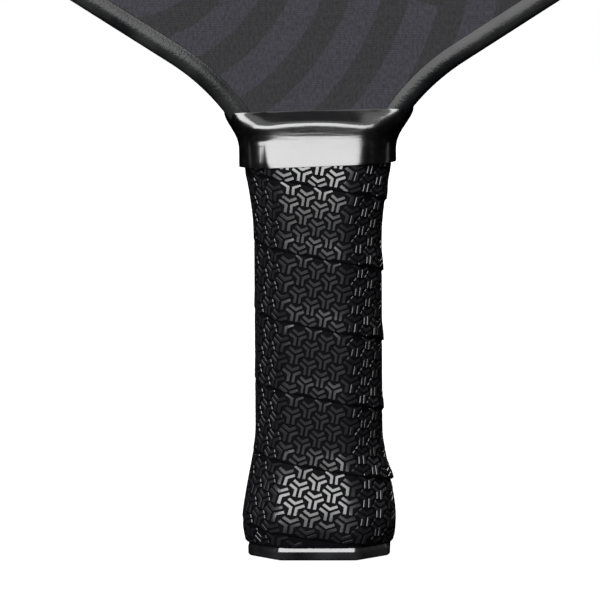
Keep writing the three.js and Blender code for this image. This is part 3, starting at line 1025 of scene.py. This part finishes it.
    @staticmethod
    def _mark_relief(piece: bpy.types.Object, level: Array) -> None:
        """Stores how high each vertex stands in the embossing, for the material, which paints shade into the
        grooves' colour by it and coats the bars.
        """
        marks = piece.data.attributes.new("relief", "FLOAT", "POINT")
        marks.data.foreach_set("value", level.astype(np.float32))

    def build_cushion(self, material: bpy.types.Material) -> None:
        """Makes and installs the felt-backed foam under the skin, pressed thin under the band.

        Args:
            material: its finish.
        """

        def lay(u: Array, v: Array) -> Array:
            """Lays the grid up the outer side and down the inner side.

            Args:
                u: turns round the handle.
                v: shares of the way up and back down.

            Returns:
                Rows of x, y and z.
            """
            z = self.start + (self.end - self.start) * (1 - np.abs(2 * v - 1))
            outer = (v > 1e-6) & (v <= 0.5)
            return self.handle.at(u, z, np.where(outer, self.cushion * self.settled(z), self.bedding))

        piece = laid_grid("grip_underlay", 240, 120, lay)
        smooth(piece, 50)
        dress(piece, material)
        install(piece, "cushion", "grip_cushion")

    def build(self, material: bpy.types.Material) -> None:
        """Makes, joins and installs the wrap.

        Args:
            material: its finish.
        """
        skin = self.build_skin()
        # relief zero: the smooth skin takes the grooves' colour, darkened as painted shade
        self._mark_relief(skin, np.zeros(len(skin.data.vertices)))
        bars = self.build_embossing()
        smooth(skin, 50)
        smooth(bars, 30)
        focus(skin)
        bars.select_set(True)
        bpy.ops.object.join()
        dress(skin, material)
        install(skin, "grip_skin", "grip_skin")


# ---- finishing band


@dataclass
class FinishingBand:
    """Glossy tape stretched over the grip's end, the pallets' arched shoulder and the guard's ends."""

    wrap: GripWrap
    outline: PanelOutline
    lower: float = 108.6 * MM
    upper: float = 123.4 * MM
    lower_skew: float = 0.75 * MM  # how far each edge climbs from the middle to the right
    upper_skew: float = 0.55 * MM
    grip_end: float = 114.3 * MM
    grip_out: float = 2.1 * MM  # the grip's thickness under the tape, before it is pressed
    filled: tuple[float, float] = (0.25, 0.12)  # how far the corners fill out over the grip, and at the arch
    tape: float = 0.18 * MM
    clearance: float = 0.03 * MM
    arch_top: float = 122.0 * MM
    arch_radius: float = 102 * MM
    shoulder_fall: float = 2.4 * MM
    face_half: float = 7.34 * MM
    guard_half: float = 8.45 * MM
    guard_web: float = 1.62 * MM
    guard_cover: float = 4.2 * MM
    guard_rounding: float = 2.0 * MM
    neck_start: float = 87.3 * MM
    tent: float = 2.0 * MM  # how far in from the guard's lip the tape bridges down to the face, at the top
    fold: float = 0.62 * MM
    fold_start: float = 9.0 * MM
    fold_drop: float = 4.4 * MM
    fold_run: float = 3.5 * MM
    spine_half: float = 14.5 * MM
    flat_columns: int = 76
    fan_columns: int = 48
    rows: int = 90
    pull_steps: int = 260
    pull_along: float = 0.75  # how much more the tape pulls up and down than round the neck
    rounding: float = 4.2  # how many columns the front's and back's corners are softened over
    smoothing: float = 1.6

    @property
    def columns(self) -> int:
        """How many columns go once round."""
        return 2 * (self.flat_columns + self.fan_columns)

    def _spine(self, u: Array) -> tuple[Array, Array, Array]:
        """A stadium round the handle's axis: where each column starts and the way it points.

        Args:
            u: turns from the middle of the right side, anticlockwise from above.

        Returns:
            The starts' x, and the directions' x and y.
        """
        k = (u % 1.0) * self.columns
        half_fan = self.fan_columns / 2
        marks = np.cumsum([0, half_fan, self.flat_columns, self.fan_columns, self.flat_columns, half_fan])
        turn = np.interp(k, marks, np.array([0, 0.25, 0.25, 0.75, 0.75, 1.0]) * 2 * math.pi)
        start = np.interp(k, marks, np.array([1, 1, -1, -1, 1, 1]) * self.spine_half)
        return start, np.cos(turn), np.sin(turn)

    @staticmethod
    def _reach(
        start: Array, dx: Array, dy: Array, half: Array, deep: Array, leg_x: Array, leg_y: Array
    ) -> Array:
        """How far each column goes before it leaves an eight-sided section.

        Args:
            start: the columns' starts along x.
            dx: the directions' x.
            dy: the directions' y.
            half: half the section's width.
            deep: half its thickness.
            leg_x: its chamfers' width.
            leg_y: their depth.

        Returns:
            The distances.
        """
        length = np.hypot(leg_x, leg_y)
        nx, ny = leg_y / length, leg_x / length
        reach = np.full(start.shape, 1.0)
        chamfer = (nx, ny, nx * half + ny * (deep - leg_y))
        for side_x, side_y, away in ((1.0, 0.0, half), (0.0, 1.0, deep), chamfer):
            along = np.abs(dx) * side_x + np.abs(dy) * side_y
            limit = (away - np.abs(start) * side_x) / np.maximum(along, 1e-6)
            reach = np.where(along > 1e-3, np.minimum(reach, limit), reach)
        return reach

    def _under(self, start: Array, dx: Array, dy: Array, z: Array) -> Array:
        """How far out what lies under the tape comes.

        Args:
            start: the columns' starts along x.
            dx: the directions' x.
            dy: the directions' y.
            z: heights.

        Returns:
            The distances from the starts.
        """
        handle = self.wrap.handle
        wide, thick = np.array([handle.grown(h) for h in z]).T
        half, deep = handle.width / 2 + wide, handle.thickness / 2 + thick
        over, above = self.filled
        filled = 1 - over * eased(z, 103 * MM, 110 * MM) - above * eased(z, 114 * MM, 119 * MM)
        leg_x = (handle.chamfer + handle.chamfer_growth * wide) * filled
        leg_y = (handle.chamfer - 0.25 * wide) * filled
        grow = self.grip_out * self.wrap.settled(z)
        more = 0.586 * grow  # what a chamfer's legs gain as all the sides move out
        over_grip = self._reach(start, dx, dy, half + grow, deep + grow, leg_x + more, leg_y + more)
        x = np.abs(start) + np.abs(dx) * 5 * MM
        arch = self.arch_top - (self.arch_radius - np.sqrt(self.arch_radius**2 - x**2))
        below = np.clip((arch - z) / self.shoulder_fall, 0, 1)
        shoulder = self.face_half + (deep - self.face_half) * np.sqrt(1 - (1 - below) ** 2)
        pallet = np.where(z < arch, self._reach(start, dx, dy, half, shoulder, leg_x, leg_y), 0)
        lean = np.arcsin(np.clip((z - self.neck_start) / self.outline.neck_radius, 0, 0.95))
        edge = self.outline.neck_half(z) + self.guard_web / np.cos(lean)
        soft = self.guard_rounding + 0 * z
        rim = self._reach(start, dx, dy, edge, self.guard_half + 0 * z, soft, soft)
        rim_x = np.abs(start) + np.abs(dx) * rim
        tent = 1 * MM + self.tent * eased(z, 115.5 * MM, 123 * MM)
        lip = np.clip((rim_x - edge + self.guard_cover + 1.2 * MM + tent) / tent, 0, 1)
        face = np.abs(self.face_half / np.maximum(np.abs(dy), 1e-3))
        panel = np.where(z > self.grip_end, np.minimum(rim, face * (1 - lip) + rim * lip), 0)
        panel = panel + self._ridge(start + dx * 7.5 * MM, rim_x, z) * np.abs(dy)
        return np.maximum(np.maximum(over_grip * (z < self.grip_end + 0.4 * MM), pallet), panel)

    def _ridge(self, side: Array, x: Array, z: Array) -> Array:
        """The fold that runs in from each top corner, where the tape turns down onto the face.

        Args:
            side: places across the paddle, signed, which give the top edge's height.
            x: distances from the paddle's middle.
            z: heights.

        Returns:
            How far the fold stands up.
        """
        share = np.clip((x - self.fold_start) / (24 * MM - self.fold_start), 0, 1)
        top = self.upper + self.upper_skew * side / (22 * MM)
        crest = top - self.fold_drop * share
        above = (top - z) / np.maximum(self.fold_drop * share, 1e-6)
        below = 1 - (crest - z) / self.fold_run
        return self.fold * np.clip(share * 10, 0, 1) * np.clip(np.where(z > crest, above, below), 0, 1)

    def lay(self, u: Array, v: Array) -> Array:
        """Places the grid, u once round and v up the band, pulled tight over what lies under it.

        Args:
            u: turns round the band.
            v: shares of the way up it.

        Returns:
            Rows of x, y and z.
        """
        columns = self.columns
        i, j = np.rint(u * columns).astype(int), np.rint(v * self.rows).astype(int)
        start, dx, dy = self._spine(u)
        side = (start + dx * 7.5 * MM) / (22 * MM)
        low = self.lower + self.lower_skew * side
        high = self.upper + self.upper_skew * side
        z = low + (high - low) * v
        floor = np.zeros((columns + 1, self.rows + 1))
        floor[i, j] = self._under(start, dx, dy, z)
        pulled = self._softened(self._pulled(floor[:-1]))
        pulled = np.concatenate([pulled, pulled[:1]])
        reach = pulled[i, j] + self.clearance
        return np.column_stack([start + dx * reach, dy * reach, z])

    def _pulled(self, floor: Array) -> Array:
        """The tape pulled tight over a floor of distances, one row for each column round the band.

        Args:
            floor: the distances.

        Returns:
            The tape's distances.
        """
        ring = floor.copy()
        for _ in range(self.pull_steps):
            beside = (np.roll(ring, 1, 0) + np.roll(ring, -1, 0)) / 2
            along = (np.roll(ring, 1, 1) + np.roll(ring, -1, 1)) / 2
            inner = ((1 - self.pull_along) * beside + self.pull_along * along)[:, 1:-1]
            ring[:, 1:-1] = np.maximum(inner, floor[:, 1:-1])
            ring[:, 0] = np.maximum(ring[:, 1] * 2 - ring[:, 2], floor[:, 0])
        return ring

    def _softened(self, ring: Array) -> Array:
        """The tape's distances smoothed, more round the front's and back's corners than elsewhere.

        Args:
            ring: the tape's distances.

        Returns:
            The smoothed distances.
        """
        near, broad = bell(4, self.smoothing), bell(12, self.rounding)
        sideways = self._spine(np.arange(self.columns) / self.columns)[1]
        flat = np.clip(1.2 - 1.7 * np.abs(sideways), 0, 1)[:, None]
        tight = sum(w * np.roll(ring, k - 4, 0) for k, w in enumerate(near))
        wide = sum(w * np.roll(ring, k - 12, 0) for k, w in enumerate(broad))
        ring = tight * (1 - flat) + wide * flat
        tall = np.concatenate([ring[:, :1].repeat(4, 1), ring, ring[:, -1:].repeat(4, 1)], axis=1)
        return sum(w * tall[:, k : k + self.rows + 1] for k, w in enumerate(near))

    def build(self, material: bpy.types.Material) -> None:
        """Makes and installs the band.

        Args:
            material: its finish.
        """
        piece = laid_grid("finishing_tape", self.columns, self.rows, self.lay)
        apply_modifier(piece, "SOLIDIFY", thickness=self.tape, offset=1)
        smooth(piece, 60)
        dress(piece, material)
        install(piece, "band_vinyl", "finishing_band")


# ---- edge guard


@dataclass
class EdgeGuard:
    """The U-shaped moulding round the head."""

    outline: PanelOutline
    bottom: float = 115.1 * MM
    web: float = 1.6 * MM
    inner_web: float = 0.44 * MM
    channel_half: float = 7.31 * MM
    lip: float = 1.1 * MM
    cover: float = 4.2 * MM
    rounding: float = 2.2 * MM
    crown: float = 12.5 * MM
    crown_turn: float = 15  # degrees that the lip's top turns towards its inner edge
    lip_edge: float = 0.28 * MM
    step: float = 1.3 * MM

    def section(self) -> Array:
        """The moulding's closed section: distance outwards from the panel's edge, and depth.

        Returns:
            Rows of distance outwards and y, anticlockwise, the last joining the first.
        """
        half = self.channel_half + self.lip
        points: list[tuple[float, float]] = []

        def arc(x: float, y: float, radius: float, start: float, stop: float, steps: int) -> None:
            """Adds an arc in degrees.

            Args:
                x: the centre's distance outwards.
                y: its place through the thickness.
                radius: the radius.
                start: where it starts, in degrees.
                stop: where it stops.
                steps: how many chords it has.
            """
            for k in range(steps + 1):
                angle = math.radians(start + (stop - start) * k / steps)
                points.append((x + radius * math.cos(angle), y + radius * math.sin(angle)))

        r, e = self.rounding, self.lip_edge
        arc(self.web - r, -half + r, r, 0, -84, 7)
        arc(self.web - r, -half + self.crown, self.crown, -91, -90 - self.crown_turn, 5)
        arc(-self.cover + e, -self.channel_half - 0.42 * MM, e, 232, 120, 4)
        points.append((-self.cover + 1.0 * MM, -self.channel_half))
        points.append((self.inner_web, -self.channel_half))
        mirrored = [(x, -y) for x, y in reversed(points)]
        return np.array([*points, *mirrored, points[0]])

    def build(self, material: bpy.types.Material) -> None:
        """Makes and installs the guard.

        Args:
            material: its finish.
        """
        path = self.outline.path(self.step)
        path = path[path[:, 1] > self.bottom - self.step]
        path[0, 1] = path[-1, 1] = self.bottom
        ahead = np.gradient(path, axis=0)
        ahead /= np.linalg.norm(ahead, axis=1, keepdims=True)
        outward = np.column_stack([ahead[:, 1], -ahead[:, 0]])
        for _ in range(3):
            outward[1:-1] = (outward[:-2] + 2 * outward[1:-1] + outward[2:]) / 4
        outward /= np.linalg.norm(outward, axis=1, keepdims=True)
        section = self.section()

        def lay(u: Array, v: Array) -> Array:
            """Places the grid: u along the panel's edge, v round the section.

            Args:
                u: shares of the way along the panel's edge.
                v: shares of the way round the section.

            Returns:
                Rows of x, y and z.
            """
            i = np.rint(u * (len(path) - 1)).astype(int)
            j = np.rint(v * (len(section) - 1)).astype(int)
            reach, y = section[j, 0], section[j, 1]
            x = path[i, 0] + outward[i, 0] * reach
            z = path[i, 1] + outward[i, 1] * reach
            return np.column_stack([x, y, z])

        piece = laid_grid("guard_moulding", len(path) - 1, len(section) - 1, lay)
        in_edit_mode(
            piece,
            lambda: bpy.ops.mesh.select_all(action="DESELECT"),
            lambda: bpy.ops.mesh.select_non_manifold(),
            lambda: bpy.ops.mesh.edge_face_add(),
            lambda: bpy.ops.mesh.select_all(action="SELECT"),
            lambda: bpy.ops.mesh.normals_make_consistent(inside=False),
        )
        smooth(piece, 40)
        dress(piece, material)
        install(piece, "guard_plastic", "edge_guard")


# ---- butt cap


@dataclass
class ButtCap:
    """The gloss cap on the handle's end: an eight-sided lip with a softened edge, and its skirt."""

    handle: HandleForm
    lip_height: float = 3.4 * MM
    skirt_bend: float = 12 * MM  # above this the skirt draws in under the grip
    skirt_top: float = 26 * MM
    recess_radius: float = 10.8 * MM
    recess_depth: float = 0.8 * MM

    def lay(self, u: Array, v: Array) -> Array:
        """Places the grid: u round the handle, v from the floor's rim down, out and up the skirt.

        Args:
            u: turns round the handle.
            v: shares of the way out and up.

        Returns:
            Rows of x, y and z.
        """
        stops = np.array([0.0, 0.06, 0.1, 0.14, 0.3, 0.42, 0.5, 0.56, 0.62, 0.66, 1.0])
        height = np.array([0, 0, 0.0, 0.1, 0.35, 0.8, 2.65, 2.85, 3.7, 3.9, 3.95]) * MM
        out = np.array([-12, -1.4, -0.6, -0.2, 0.85, 1.25, 1.28, 1.22, 0.9, 0.6, -0.2]) * MM
        z = np.interp(v, stops, height)
        reach = np.interp(v, stops, out)
        points = self.handle.at(u, np.full_like(u, self.lip_height), np.maximum(reach, -1.6 * MM))
        rim = points[:, :2] * (self.recess_radius / np.linalg.norm(points[:, :2], axis=1, keepdims=True))
        inner = reach < -1.6 * MM
        points[inner, :2] = rim[inner]
        points[:, 2] = z
        return points

    def build(self, material: bpy.types.Material) -> None:
        """Makes and installs the cap.

        Args:
            material: its finish.
        """
        columns, rows = 192, 50
        piece = laid_grid("cap_moulding", columns, rows, self.lay)
        limit = self.recess_radius * 1.001
        rim = [v.index for v in piece.data.vertices if math.hypot(v.co.x, v.co.y) < limit]
        self._close(piece, set(rim))
        smooth(piece, 35)
        dress(piece, material)
        install(piece, "cap_plastic", "butt_cap")

    def _close(self, piece: bpy.types.Object, rim: set[int]) -> None:
        """Lets the badge's recess into the floor, raises the skirt and closes both.

        Args:
            piece: the cap.
            rim: the recess's rim, by vertex number.
        """
        focus(piece)
        for vertex in piece.data.vertices:
            vertex.select = vertex.index in rim
        for edge in piece.data.edges:
            edge.select = all(i in rim for i in edge.vertices)
        for face in piece.data.polygons:
            face.select = False
        depth = self.recess_depth
        bpy.ops.object.mode_set(mode="EDIT")
        bpy.ops.mesh.select_mode(type="EDGE")
        bpy.ops.mesh.extrude_region_move(TRANSFORM_OT_translate={"value": (0, 0, depth)})
        bpy.ops.mesh.edge_face_add()
        bpy.ops.mesh.select_all(action="DESELECT")
        bpy.ops.mesh.select_non_manifold()
        bpy.ops.mesh.extrude_region_move(TRANSFORM_OT_translate={"value": (0, 0, self.skirt_bend - 4 * MM)})
        rise = self.skirt_top - self.skirt_bend
        bpy.ops.mesh.extrude_region_move(TRANSFORM_OT_translate={"value": (0, 0, rise)})
        bpy.ops.transform.resize(value=(0.92, 0.84, 1.0))
        bpy.ops.mesh.edge_face_add()
        bpy.ops.mesh.select_mode(type="VERT")
        bpy.ops.mesh.select_all(action="SELECT")
        bpy.ops.mesh.normals_make_consistent(inside=False)
        bpy.ops.object.mode_set(mode="OBJECT")


# ---- stage


class Key(Enum):
    """The studio's lights."""

    OVERHEAD = "overhead"
    FRONT = "front"
    LEFT = "left"
    RIGHT = "right"
    REAR = "rear"


@dataclass(frozen=True)
class Softbox:
    """A soft rectangular light that looks at the grip."""

    key: Key
    place: tuple[float, float, float]
    size: tuple[float, float]
    power: float

    def build(self) -> None:
        """Hangs the light."""
        data = bpy.data.lights.new(self.key.value, "AREA")
        data.shape = "RECTANGLE"
        data.size, data.size_y = self.size
        data.energy = self.power
        lamp = bpy.data.objects.new(self.key.value, data)
        lamp.location = self.place
        toward = Vector((0.0, 0.0, 0.07)) - Vector(self.place)
        lamp.rotation_euler = toward.to_track_quat("-Z", "Y").to_euler()
        bpy.context.scene.collection.objects.link(lamp)


@dataclass
class Studio:
    """A white floor and surround, soft lights and the camera."""

    softboxes: tuple[Softbox, ...] = (
        Softbox(Key.FRONT, (-0.42, -1.38, 0.87), (1.5, 1.3), 92),
        Softbox(Key.OVERHEAD, (-0.25, -0.45, 1.5), (1.3, 0.7), 5),
        Softbox(Key.LEFT, (-1.6, -0.2, 0.35), (0.12, 0.8), 0.3),
        Softbox(Key.RIGHT, (1.6, 0.2, 0.35), (0.12, 0.8), 0.5),
        Softbox(Key.REAR, (0.2, 1.38, 1.15), (1.2, 1.2), 70),
    )
    aim: tuple[float, float, float] = (-5.1 * MM, 0.0, 70.5 * MM)
    distance: float = 1.13
    elevation: float = 6.5
    yaw: float = 1.8
    roll: float = 0.33
    lens: float = 245.0
    floor_half: float = 3.0

    def floor(self) -> None:
        """Makes the floor, which the paddle's reflections leave out."""
        clear_selection()
        bpy.ops.mesh.primitive_plane_add(size=2 * self.floor_half, location=(0, 0, -0.2 * MM))
        floor = bpy.context.object
        floor.name = "floor"
        bpy.ops.object.transform_apply(location=True)
        graph = Graph("studio_floor")
        graph.set(
            Base_Color=(0.12, 0.12, 0.12),
            Roughness=0.9,
            Specular_IOR_Level=0.1,
            Emission_Color=(1.0, 1.0, 1.0),
            Emission_Strength=1.0,
        )
        dress(floor, graph.material)
        floor.visible_glossy = False
        floor.visible_diffuse = False

    def world(self) -> None:
        """Sets an even white surround, which only the camera sees."""
        world = bpy.data.worlds.new("surround")
        bpy.context.scene.world = world
        world.use_nodes = True
        world.node_tree.nodes["Background"].inputs["Color"].default_value = (1, 1, 1, 1)
        world.node_tree.nodes["Background"].inputs["Strength"].default_value = 1.0
        world.cycles_visibility.glossy = False
        world.cycles_visibility.diffuse = False
        bpy.context.scene.view_settings.view_transform = "Standard"

    def camera(self) -> None:
        """Makes the camera at the product view's angle."""
        data = bpy.data.cameras.new("product_view")
        data.lens = self.lens
        data.sensor_width = 36.0
        camera = bpy.data.objects.new("product_view", data)
        up, side = math.radians(self.elevation), math.radians(self.yaw)
        offset = Vector((math.sin(side) * math.cos(up), -math.cos(side) * math.cos(up), math.sin(up)))
        camera.location = Vector(self.aim) + offset * self.distance
        turn = Matrix.Rotation(math.radians(-self.roll), 3, "Z")
        camera.rotation_euler = ((-offset).to_track_quat("-Z", "Y").to_matrix() @ turn).to_euler()
        bpy.context.scene.collection.objects.link(camera)
        bpy.context.scene.camera = camera

    def build(self) -> None:
        """Sets the whole stage."""
        self.world()
        self.floor()
        for softbox in self.softboxes:
            softbox.build()
        self.camera()


# ---- main


def dress_frame(frame: dict[str, object], plain: PlainFinishes) -> None:
    """Gives the CAD nodes that stay their finishes.

    Args:
        plain: the plain finishes.
    """
    laminate = PrintedLaminate().build()
    tape, film, pallet, steel = (f.build() for f in (plain.tape, plain.film, plain.pallet, plain.steel))
    finishes = {
        "core_honeycomb": plain.core.build(),
        "front_bond_film": film,
        "rear_bond_film": film,
        "front_face_sheet": laminate,
        "rear_face_sheet": laminate,
        "edge_guard_tape": tape,
        "front_pallet": pallet,
        "rear_pallet": pallet,
        "front_pallet_tape": tape,
        "rear_pallet_tape": tape,
        "butt_badge": plain.badge.build(),
        "front_staple": steel,
        "rear_staple": steel,
    }
    for name, material in finishes.items():
        dress(frame["nodes"][name], material)
        LOG.info("%s wears %s", name, material.name)


def main() -> None:
    """Builds the paddle's looks and the studio."""
    logging.basicConfig(level=logging.INFO, format="%(name)s: %(message)s")
    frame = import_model()
    plain = PlainFinishes()
    handle = HandleForm()
    outline = PanelOutline()
    dress_frame(frame, plain)
    EdgeGuard(outline).build(plain.guard.build())
    ButtCap(HandleForm(rounding=0.5 * MM)).build(plain.cap.build())
    wrap = GripWrap(handle)
    wrap.build_cushion(plain.cushion.build())
    wrap.build(GripSkin().build())
    FinishingBand(wrap, outline).build(StretchedVinyl().build())
    Studio().build()


if __name__ == "__main__":
    main()
